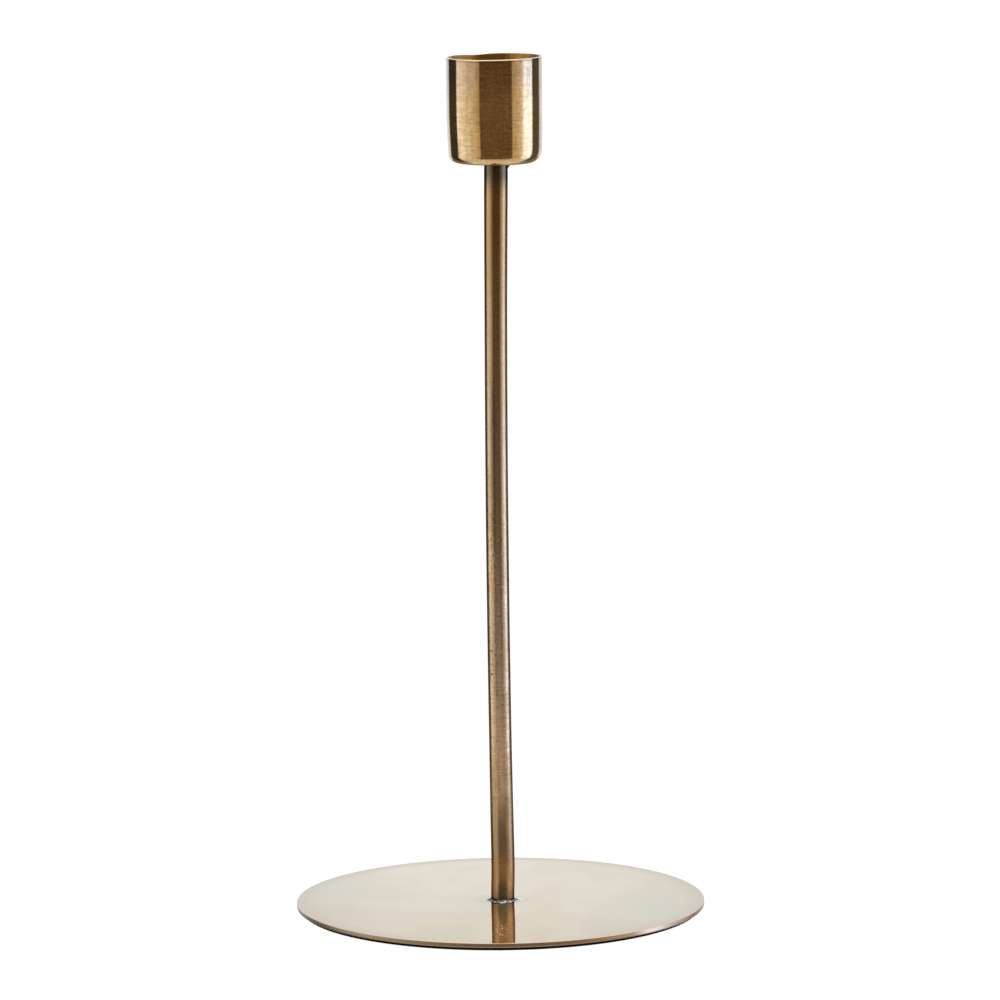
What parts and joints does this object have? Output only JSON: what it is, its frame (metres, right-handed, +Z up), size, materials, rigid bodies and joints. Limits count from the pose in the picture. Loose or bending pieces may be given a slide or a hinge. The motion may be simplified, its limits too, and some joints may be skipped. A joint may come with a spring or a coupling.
{
  "type": "candlestick",
  "caption": "Slim candlestick for a dinner candle: a thin-walled cup on a straight round stem, brazed to a flat round foot with a pad under it.",
  "frame": {"origin": "centre of the pad's underside, on the surface that the candlestick stands on", "axes": "+Z up along the stem; the object is round about Z, so X and Y are free choices"},
  "size_m": [0.1, 0.1, 0.2089],
  "materials": {
    "plate_brass": "pale antique brass, polished to a near mirror, with a darker rim",
    "pad_felt": "black pressed felt",
    "adhesive_film": "grey adhesive film",
    "stem_brass": "antique brass, satin, with brown patina, fine scratches and pits",
    "foot_braze_metal": "silvery cast bead with dark oxide spots",
    "cup_braze_metal": "grey-brown cast bead with heat tint",
    "cup_brass": "antique brass with fine brushing round the cup"
  },
  "bodies": {
    "root": {"base_plate": "plate_brass", "base_pad": "pad_felt", "pad_adhesive": "adhesive_film", "stem": "stem_brass", "foot_braze": "foot_braze_metal", "cup_braze": "cup_braze_metal", "candle_cup": "cup_brass"}
  },
  "joints": []
}
